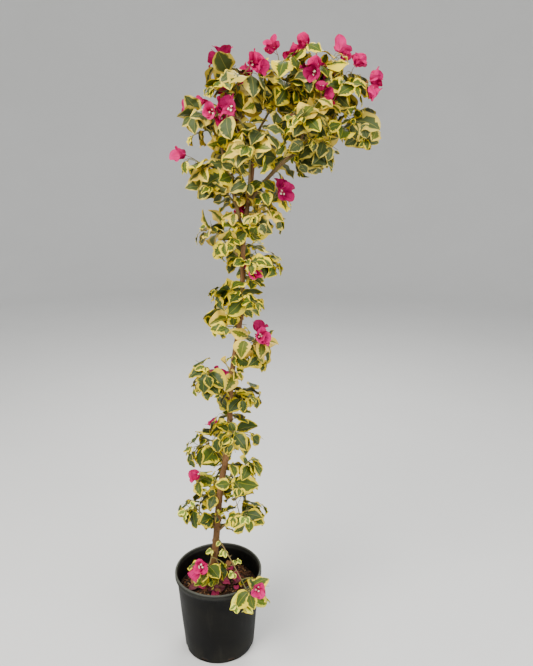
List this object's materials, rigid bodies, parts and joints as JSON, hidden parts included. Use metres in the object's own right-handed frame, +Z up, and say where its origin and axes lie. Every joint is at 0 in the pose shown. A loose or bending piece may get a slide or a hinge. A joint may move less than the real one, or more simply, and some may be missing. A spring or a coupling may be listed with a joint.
{
  "type": "bougainvillea bush",
  "caption": "Young potted bougainvillea grown as one tall leaning stem with an arching leafy head, cream-edged green leaves and pink papery bracts, in a black nursery pot",
  "frame": {"origin": "centre of the pot's flat underside, on the ground", "axes": "+Z up; +X to the right as seen from the front; -Y is the front, and the head of the plant arches towards +X"},
  "size_m": [0.6098, 0.4051, 1.8659],
  "materials": {
    "pot": "satin",
    "soil": "matte",
    "bark": "matte",
    "foliage": "satin"
  },
  "bodies": {
    "root": {"pot": "pot", "soil": "soil", "trunk": "bark", "cane_right": "bark", "cane_left": "bark", "bough_head_left_low": "bark", "bough_head_back": "bark", "bough_head_under": "bark", "bough_head_top": "bark", "bough_head_right_back": "bark", "bough_head_right_front": "bark", "bough_head_right": "bark", "bough_head_left_top": "bark", "bough_head_front": "bark", "bough_head_middle": "bark", "bough_collar_left": "bark", "bough_low_left": "bark", "bough_low_right": "bark", "bough_low_back": "bark", "bough_trailing_left": "bark", "bough_trailing_right": "bark", "head_left": "foliage", "head_left_low": "foliage", "head_back": "foliage", "head_under": "foliage", "head_top": "foliage", "head_right_back": "foliage", "head_right_front": "foliage", "head_right": "foliage", "head_right_tip": "foliage", "head_left_top": "foliage", "head_front": "foliage", "head_middle": "foliage", "collar_right": "foliage", "collar_left": "foliage", "low_left": "foliage", "low_right": "foliage", "low_back": "foliage", "trailing_left": "foliage", "trailing_right": "foliage", "column_1": "foliage", "column_2": "foliage", "column_3": "foliage", "column_4": "foliage", "column_5": "foliage", "column_6": "foliage", "column_7": "foliage", "column_8": "foliage", "column_9": "foliage"}
  },
  "joints": []
}
